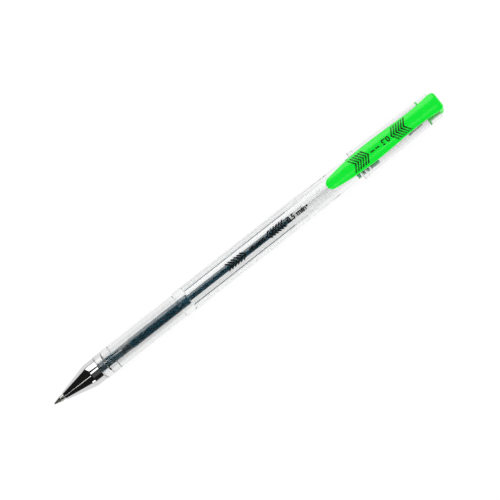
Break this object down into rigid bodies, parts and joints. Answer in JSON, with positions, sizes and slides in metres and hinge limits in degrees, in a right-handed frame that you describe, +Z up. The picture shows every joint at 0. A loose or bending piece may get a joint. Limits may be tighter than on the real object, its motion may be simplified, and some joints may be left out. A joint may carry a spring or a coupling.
{
  "type": "gel pen",
  "caption": "Gel ink stick pen with a metal nose cone, a clear hexagonal barrel and a clear clip cap posted on its tail.",
  "frame": {"origin": "on the surface the pen lies on, under the middle of its length", "axes": "+X along the pen from its point to the crown of the cap, +Z up through the pocket clip"},
  "size_m": [0.1686, 0.0112, 0.0133],
  "materials": {
    "ball_carbide": "polished",
    "tip_steel": "turned",
    "natural_plastic": "translucent",
    "tube_plastic": "clear",
    "ink": "wet",
    "follower_grease": "wet",
    "nose_chrome": "mirror",
    "clear_plastic": "clear",
    "green_plastic": "bright translucent green",
    "seal_rubber": "soft satin"
  },
  "bodies": {
    "pen_barrel": {"barrel": "clear_plastic", "barrel_end_plug": "green_plastic", "refill_tube": "tube_plastic", "tip_holder": "natural_plastic", "tip_body": "tip_steel", "gel_ink": "ink", "ink_follower": "follower_grease"},
    "ball": {"writing_ball": "ball_carbide"},
    "nose": {"nose_cone": "nose_chrome"},
    "cap": {"cap_tube": "clear_plastic", "cap_crown": "green_plastic", "cap_seal": "seal_rubber"},
    "clip": {"pocket_clip": "green_plastic"}
  },
  "joints": [
    {"name": "nose_unscrew", "type": "slide", "parent": "pen_barrel", "child": "nose", "axis": [-1, 0, 0], "range_m": [0, 0.022]},
    {"name": "ball_roll", "type": "hinge", "parent": "pen_barrel", "child": "ball", "pos_m": [-0.0841, 0, 0.0056], "axis": [0, 1, 0], "continuous": true},
    {"name": "cap_pull", "type": "slide", "parent": "pen_barrel", "child": "cap", "axis": [1, 0, 0], "range_m": [0, 0.025]},
    {"name": "clip_flex", "type": "hinge", "parent": "cap", "child": "clip", "pos_m": [0.07895, 0, 0.0133], "axis": [0, 1, 0], "range_deg": [0, 3], "stiffness_Nm_per_rad": 0.6}
  ]
}
